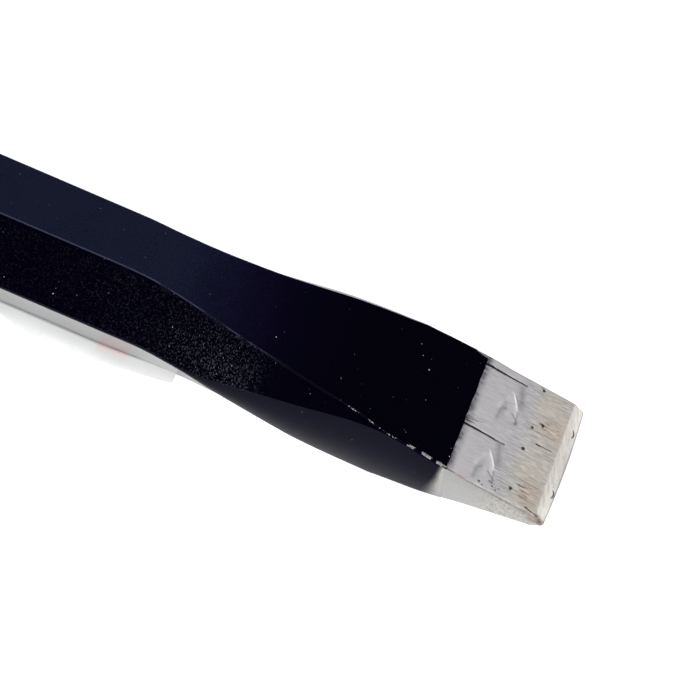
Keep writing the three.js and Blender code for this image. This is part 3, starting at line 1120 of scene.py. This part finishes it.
lacquerCoat = {
    "ring": (8, 5, 24, 5, 26),
    "fineStep": 0.35,
    "leastFilm": 0.02,
    "edgeFilm": 0.05,  # film left at the ground line, on top of the least
    "lineWobble": 0.10,
    "farNotch": 2.0,  # length of the bare strip along the far edge
    "nearSlant": 1.2,  # how far the line runs forward at the foot of the near side
    "fadeLength": (1.5, 4.6),  # at the near side's upper edge and at its foot
    "dentDepth": 0.045,
    "skinDepth": 0.010,
    "roughAt": 56.5,  # middle and reach of the forged unevenness
    "roughReach": 15.0,
    "pebblesGrow": (47.5, 52.5),  # where the forged pebbling begins, and where it dies away
    "pebblesFade": (54.0, 68.0),
    "shankPebbles": (0.20, 0.09),  # what is left of it on the shank, near the blade and beyond
    "glossFrom": (50, 66),  # where the lower facets turn glossy
    "dullTo": (44, 54),  # the blade's ridges are dull up to here,
    "patchyTo": (62, 82),  # and in patches up to here
    # chipping of the blade's other edges, of the shank's edges, and round the struck end
    "otherChips": 0.55,
    "shankChips": 0.25,
    "headChips": 0.9,
    # painted sheen on the upper flat: (at, share)
    "paintedSheen": [(36.0, 0.0), (42.6, 0.04), (49.0, 0.16), (55.0, 0.36), (61.0, 0.62), (68.0, 1.0)],
    # chips on the near upper edge: from, to, strength, and whether they reach over the flat
    "chips": [
        (35.2, 33.0, 0.75, False),
        (31.6, 30.0, 0.85, False),
        (29.9, 26.0, 0.82, False),
        (24.6, 23.0, 0.98, True),
        (22.0, 19.7, 1.08, True),
        (19.3, 17.4, 0.92, True),
    ],
}


# The film: an outer wall that thins to about half at the ground line, an inner wall on the steel,
# and short rings that join them at both ends.
def makeLacquerCoat():
    values = lacquerCoat
    ring = ringPlaces(values["ring"], 1.5)
    line = bar["paintLineAt"]
    rows = np.concatenate(
        [
            [filmEndAt, filmEndAt - 0.15, filmEndAt - 0.6],
            np.linspace(247, 97, 60),
            np.arange(96.5, line + 1.0, -values["fineStep"]),
            line + np.array([0.8, 0.5, 0.3, 0.15, 0.0]),
        ]
    )[:, None]
    plain, direction = barSurface(np.full((1, 1), line), ring, 0.0)
    across = plain[0, :, 1]
    isFlat = np.abs(direction[0, :, 2]) > 0.7
    sample = np.stack([across, plain[0, :, 2], np.zeros_like(across)], axis=-1)
    shift = values["lineWobble"] * latticeNoise(sample, (1.6, 1.6, 1.0), 31)
    shift += 0.4 * values["lineWobble"] * latticeNoise(sample, (0.35, 0.35, 1.0), 32)
    farEdge = smooth(across, 11.5, 12.0)
    shift += values["farNotch"] * farEdge * np.where(isFlat | (ring["up"] > 0), 1.0, 0.3)
    nearSide = (across < -11.9) & ~isFlat
    slant = smooth(-(plain[0, :, 2] - axisHeight), -3.0, 3.4)
    shift -= np.where(nearSide, values["nearSlant"] * slant, 0.0)
    at = rows + shift[None, :] * smooth(-rows, -(line + 6.0), -line)
    fromLine = at - (line + shift[None, :])
    film = lerp(values["edgeFilm"], bar["filmThickness"], smooth(fromLine, 0.0, 6.0))
    film = film * smooth(filmEndAt - at, -0.2, 0.5) + values["leastFilm"]
    film = np.minimum(film, bar["filmThickness"])
    points, outward = barSurface(at, ring, 0.0)

    onFacet = ((ring["stretch"] == 2) | (ring["stretch"] == 1))[None, :] * np.ones_like(at)
    inShoulder = bump(at, values["roughAt"], values["roughReach"])
    lowerPart = smooth(ring["share"], 0.9, 0.35)[None, :]
    onShank = lerp(*values["shankPebbles"], smooth(at, 68, 84)) * smooth(at, 44, 60)
    pebbled = smooth(at, *values["pebblesGrow"]) * (1 - smooth(at, *values["pebblesFade"]))
    forged = onFacet * (pebbled * lerp(0.28, 1.0, lowerPart) + onShank)
    forged = np.maximum(forged, 0.5 * pebbled * (ring["stretch"] == 3))
    skinNoise = latticeNoise(points, 0.9, 41) + 0.6 * latticeNoise(points, 0.5, 42)
    dents = latticeNoise(points, (9.0, 5.0, 5.0), 43)
    dents = dents + 0.5 * latticeNoise(points, (3.6, 2.4, 2.4), 44)
    uneven = values["dentDepth"] * dents * (0.15 + inShoulder * 0.6) * smooth(at, 22, 34)
    uneven += values["skinDepth"] * skinNoise * forged
    uneven = np.clip(uneven, -0.1, 0.06)
    outer = points + outward * (film + uneven * smooth(fromLine, 0.2, 3.0))[..., None]

    # Chips along the blade's near upper edge; a few on the other edges and round the struck end.
    onCorner = ring["stretch"] == 3
    besideCorner = (ring["stretch"] == 4) & (ring["share"] < 0.03)
    nearUpper = (ring["up"] > 0) & (ring["across"] < 0)
    inChips = smooth(at, line, line + 0.6) * (1 - smooth(at, 20.0, 33.0))
    chip = values["otherChips"] * inChips * (onCorner & ~nearUpper)[None, :]
    for start, end, strength, reachesOver in values["chips"]:
        within = smooth(at, end - 0.15, end + 0.2) * (1 - smooth(at, start - 0.2, start + 0.15))
        band = nearUpper & (onCorner | (besideCorner & reachesOver))
        chip = np.maximum(chip, strength * within * band[None, :])
    chip = np.maximum(chip, values["shankChips"] * onCorner[None, :] * smooth(at, 36, 60))
    chip = np.maximum(chip, values["headChips"] * smooth(at, filmEndAt - 2.0, filmEndAt))
    sideways = (np.abs(outward[..., 1]) > 0.8) & (at < 40) & (across[None, :] < 0)
    fadeLength = lerp(*values["fadeLength"], slant)
    fade = np.where(sideways, 1 - smooth(fromLine / fadeLength, 0.0, 1.0), 0.0)
    # Painted sheen only where the surface faces up, growing towards the shank.
    sheenAt, sheenShare = zip(*values["paintedSheen"])
    paintedSheen = np.interp(at, sheenAt, sheenShare) * smooth(outward[..., 2], 0.75, 0.97)
    gloss = onFacet * (ring["up"] < 0) * smooth(at, *values["glossFrom"])
    # The ridge's shine is broken up over the shoulder and gone on the blade.
    patchy = smooth(latticeNoise(points, 1.3, 45), -0.1, 0.35)
    patchy = patchy * (1 - smooth(at, *values["patchyTo"]))
    dull = onCorner * np.maximum(1 - smooth(at, *values["dullTo"]), patchy)
    masksOutside = {
        "paintedSheen": paintedSheen,
        "sparkle": forged,
        "chip": chip,
        "fade": fade,
        "gloss": gloss,
        "dull": dull,
    }
    rowCount, columnCount = at.shape

    innerRows = [[filmEndAt], np.linspace(230, 100, 6), np.linspace(88, 24, 24)]
    innerRows = np.concatenate(innerRows)[:, None]
    inner, _ = barSurface(np.broadcast_to(innerRows, (len(innerRows), columnCount)), ring, 0.0)
    lastInner, _ = barSurface(at[-1:], ring, 0.0)
    inner = np.concatenate([inner, lastInner])
    innerCount = len(inner)
    first = rowCount * columnCount
    faces = [ringFaces(rowCount, columnCount)]
    faces.append(ringFaces(innerCount, columnCount, first, inward=True))
    column = np.arange(columnCount)
    following = (column + 1) % columnCount
    faces.append(np.stack([first + column, first + following, following, column], axis=-1))
    lastOuter = (rowCount - 1) * columnCount
    lastIn = first + (innerCount - 1) * columnCount
    tipEnd = [lastOuter + column, lastOuter + following, lastIn + following, lastIn + column]
    faces.append(np.stack(tipEnd, axis=-1))
    allPoints = np.concatenate([outer.reshape(-1, 3), inner.reshape(-1, 3)])
    zeros = np.zeros(innerCount * columnCount)
    masks = {
        name: np.concatenate([np.broadcast_to(mask, at.shape).ravel(), zeros])
        for name, mask in masksOutside.items()
    }
    return makePiece("lacquerCoat", allPoints, np.concatenate(faces), masks, lacquerMaterial, 60)


coatPiece = makeLacquerCoat()
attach(coatPiece, "root")
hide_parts("lacquer_coat")
print("lacquer coat:", len(coatPiece.data.polygons), "faces")

# The label.

label = {
    "length": 32.0,
    "endAt": 61.2,
    "reach": 9.4,
    "droop": 1.0,
    "corner": 3.8,
    "cornerLength": 0.28,
    "farReach": 5.0,
    "wave": 0.06,
    # distances from the centre line: where it hangs free and leaves the painted shade, and the line
    # of painted shade along the gap
    "looseFrom": (5.6, 8.5),
    "unshadedFrom": (5.8, 8.8),
    "gapAt": 5.55,
    "gapWidth": 0.22,
    "steps": (130, 56),
    # the plain red band printed on its lower face: from, to along; outer and inner edge across
    "printFromAt": 74.2,
    "printToAt": 69.2,
    "printOuter": -7.1,
    "printInner": 3.6,
}


# A thin sheet: rows along the bar, columns across it, its height the underside of the bar less the
# glue, its outer margin cut to a shallow curve with one rounded corner and slightly waved.
def makeLabel():
    values = label
    rows, columns = values["steps"]
    startAt = values["endAt"] + values["length"]
    along = np.linspace(0, 1, rows)[:, None]
    across = np.linspace(0, 1, columns)[None, :]
    at = startAt - along * values["length"]
    corner = np.maximum(0, 1 - along / values["cornerLength"])
    near = -values["reach"] + values["droop"] * along**2 + values["corner"] * corner**2
    y = lerp(near, values["farReach"], across) + 0 * at
    at = at + 0 * y
    top = axisHeight - thicknessAt(at) / 2 - bar["filmThickness"] - bar["adhesive"]
    loose = smooth(-y, *values["looseFrom"])
    wave = values["wave"] * latticeNoise(np.stack([at, y, 0 * y], axis=-1), (5.0, 3.0, 1.0), 51)
    lift = loose * (wave + values["wave"])
    upper = np.stack([tipX - at, y, top + lift], axis=-1)
    lower = upper - [0, 0, bar["labelThickness"]]
    printed = between(at, values["printToAt"], values["printFromAt"], 0.05)
    printed = printed * between(y, values["printOuter"], values["printInner"], 0.08)
    showThrough = between(at, values["printToAt"], values["printFromAt"], 0.3)
    showThrough = showThrough * (1 - 0.75 * smooth(-y, 5.6, 6.8)) * (1 - smooth(-y, 6.6, 8.0))
    # Painted shade towards the bar's foot, where the bar overhangs the label.
    footShade = 1 - smooth(-y, *values["unshadedFrom"])
    # Painted shade along the line where the label leaves the bar.
    gapShade = np.exp(-(((y + values["gapAt"]) / values["gapWidth"]) ** 2))
    count = rows * columns
    row = np.arange(rows - 1)[:, None] * columns
    column = np.arange(columns - 1)[None, :]
    quad = [row + column, row + columns + column, row + columns + column + 1, row + column + 1]
    upperFaces = np.stack(quad, axis=-1).reshape(-1, 4)
    lowerFaces = upperFaces[:, ::-1] + count
    rim = np.concatenate(
        [
            np.arange(columns),
            np.arange(1, rows) * columns + columns - 1,
            (rows - 1) * columns + np.arange(columns - 2, -1, -1),
            np.arange(rows - 2, 0, -1) * columns,
        ]
    )
    nextRim = np.roll(rim, -1)
    rimFaces = np.stack([rim, nextRim, nextRim + count, rim + count], axis=-1)
    allPoints = np.concatenate([upper.reshape(-1, 3), lower.reshape(-1, 3)])
    masks = {
        "printed": np.concatenate([np.zeros(count), printed.ravel()]),
        "showThrough": np.concatenate([showThrough.ravel(), np.zeros(count)]),
        "footShade": np.concatenate([footShade.ravel(), np.full(count, 0.2)]),
        "gapShade": np.concatenate([gapShade.ravel(), np.zeros(count)]),
    }
    faces = np.concatenate([upperFaces, lowerFaces, rimFaces])
    return makePiece("undersideLabel", allPoints, faces, masks, paperMaterial, 40)


labelPiece = makeLabel()
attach(labelPiece, "root")
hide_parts("underside_label")
print("label:", len(labelPiece.data.polygons), "faces")

# Floor, light and camera.

studio = {
    "floorSize": 4.0,
    "floorGap": 0.00003,  # metres between the floor and the object
    "floorColour": (0.50, 0.50, 0.52),
    "cameraShine": 0.66,  # what the floor adds to itself for camera rays, near the object
    "farShine": 1.0,  # and far from it, where less light falls on it
    "shineGrows": (0.18, 0.6),  # metres from the object between which it grows
    "mirrorShine": 0.20,  # and for mirror and glass rays
    # lamps: place, what they aim at, size, brightness
    "overhead": ((0.06, 0.0, 1.0), (0.06, 0.0, 0.0), (0.9, 0.7), 4.0),
    "rightPanel": ((1.2, 0.55, 0.38), (0.1, 0.0, 0.0), (1.3, 0.7), 2.0),
    "nearFill": ((0.05, -1.0, 0.7), (0.1, 0.0, 0.0), (1.6, 0.7), 9.2),
    "roomLow": (0.02, 0.02, 0.03),
    "roomHigh": (0.06, 0.06, 0.07),
}


def makeFloor():
    half, height = studio["floorSize"] / 2, -studio["floorGap"]
    mesh = bpy.data.meshes.new("studioFloor")
    corners = [(x * half, y * half, height) for x, y in ((-1, -1), (1, -1), (1, 1), (-1, 1))]
    mesh.from_pydata(corners, [], [(0, 1, 2, 3)])
    material = bpy.data.materials.new("studioFloor")
    material.use_nodes = True
    tree = material.node_tree
    shader = tree.nodes["Principled BSDF"]
    shader.inputs["Base Color"].default_value = (*studio["floorColour"], 1)
    shader.inputs["Roughness"].default_value = 0.9
    shader.inputs["Specular IOR Level"].default_value = 0.1
    path = addNode(tree, "ShaderNodeLightPath")
    glossy, transmitted = path.outputs["Is Glossy Ray"], path.outputs["Is Transmission Ray"]
    mirrored = mathNode(tree, "MAXIMUM", glossy, transmitted)
    position = addNode(tree, "ShaderNodeTexCoord").outputs["Object"]
    away = vectorNode(tree, "LENGTH", position).outputs["Value"]
    near, far = studio["shineGrows"]
    seen = mapRange(tree, away, near, far, studio["cameraShine"], studio["farShine"])
    shine = times(tree, path.outputs["Is Camera Ray"], seen)
    shine = plus(tree, shine, times(tree, mirrored, studio["mirrorShine"]))
    tree.links.new(shine, shader.inputs["Emission Strength"])
    shader.inputs["Emission Color"].default_value = (1, 1, 1, 1)
    mesh.materials.append(material)
    floor = bpy.data.objects.new("studioFloor", mesh)
    bpy.context.scene.collection.objects.link(floor)


# A rectangular lamp of a given brightness: its power is brightness * pi * area.
def addLamp(name):
    place, aim, size, brightness = studio[name]
    data = bpy.data.lights.new(name, "AREA")
    data.shape = "RECTANGLE"
    data.size, data.size_y = size
    data.energy = brightness * math.pi * size[0] * size[1]
    lamp = bpy.data.objects.new(name, data)
    lamp.location = place
    lamp.rotation_mode = "QUATERNION"
    lamp.rotation_quaternion = (Vector(aim) - Vector(place)).to_track_quat("-Z", "Y")
    bpy.context.scene.collection.objects.link(lamp)
    return lamp


# White for the camera; for every other ray a dim room, a little lighter overhead.
def makeWorld():
    world = bpy.data.worlds.new("studioWorld")
    bpy.context.scene.world = world
    world.use_nodes = True
    tree = world.node_tree
    tree.nodes.clear()
    direction = addNode(tree, "ShaderNodeTexCoord").outputs["Generated"]
    split = addNode(tree, "ShaderNodeSeparateXYZ", {0: direction})
    height = mapRange(tree, split.outputs["Z"], 0.0, 0.9)
    colour = mixColours(tree, height, studio["roomLow"], studio["roomHigh"])
    path = addNode(tree, "ShaderNodeLightPath")
    colour = mixColours(tree, path.outputs["Is Camera Ray"], colour, (1.0, 1.0, 1.0))
    background = addNode(tree, "ShaderNodeBackground", {"Color": colour, "Strength": 1.0})
    addNode(tree, "ShaderNodeOutputWorld", {"Surface": background.outputs[0]})


cameraValues = {
    "azimuth": -1.5,
    "elevation": 49.4,
    "roll": 24.32,
    "lens": 250.0,
    "fieldWidth": 108.15,
    "aimAt": 38.0,
    "aimUp": 3.88,
}


# Turned about its own axis, so that the bar runs down to the right.
def makeCamera():
    values = cameraValues
    angles = ("azimuth", "elevation", "roll")
    azimuth, elevation, roll = (math.radians(values[name]) for name in angles)
    back = Vector(
        (
            math.sin(azimuth) * math.cos(elevation),
            -math.cos(azimuth) * math.cos(elevation),
            math.sin(elevation),
        )
    )
    right = Vector((math.cos(azimuth), math.sin(azimuth), 0))
    up = back.cross(right)
    turnedRight = right * math.cos(roll) + up * math.sin(roll)
    turnedUp = up * math.cos(roll) - right * math.sin(roll)
    target = Vector((tipX - values["aimAt"], 0, axisHeight)) + up * values["aimUp"]
    data = bpy.data.cameras.new("camera")
    data.lens = values["lens"]
    data.sensor_width = 36.0
    distance = values["fieldWidth"] * values["lens"] / data.sensor_width
    place = (target + back * distance) * metresPerMillimetre
    turn = Matrix((turnedRight, turnedUp, back)).transposed().to_4x4()
    camera = bpy.data.objects.new("camera", data)
    camera.matrix_world = Matrix.Translation(place) @ turn
    data.clip_start, data.clip_end = 0.01, 20.0
    bpy.context.scene.collection.objects.link(camera)
    bpy.context.scene.camera = camera


makeFloor()
addLamp("overhead")
addLamp("rightPanel")
# The fill lights what the bar overhangs; it isn't mirrored, as the lacquer's near faces are black.
fill = addLamp("nearFill")
fill.visible_glossy = False
makeWorld()
makeCamera()
bpy.context.scene.view_settings.view_transform = "Standard"
print("studio ready")
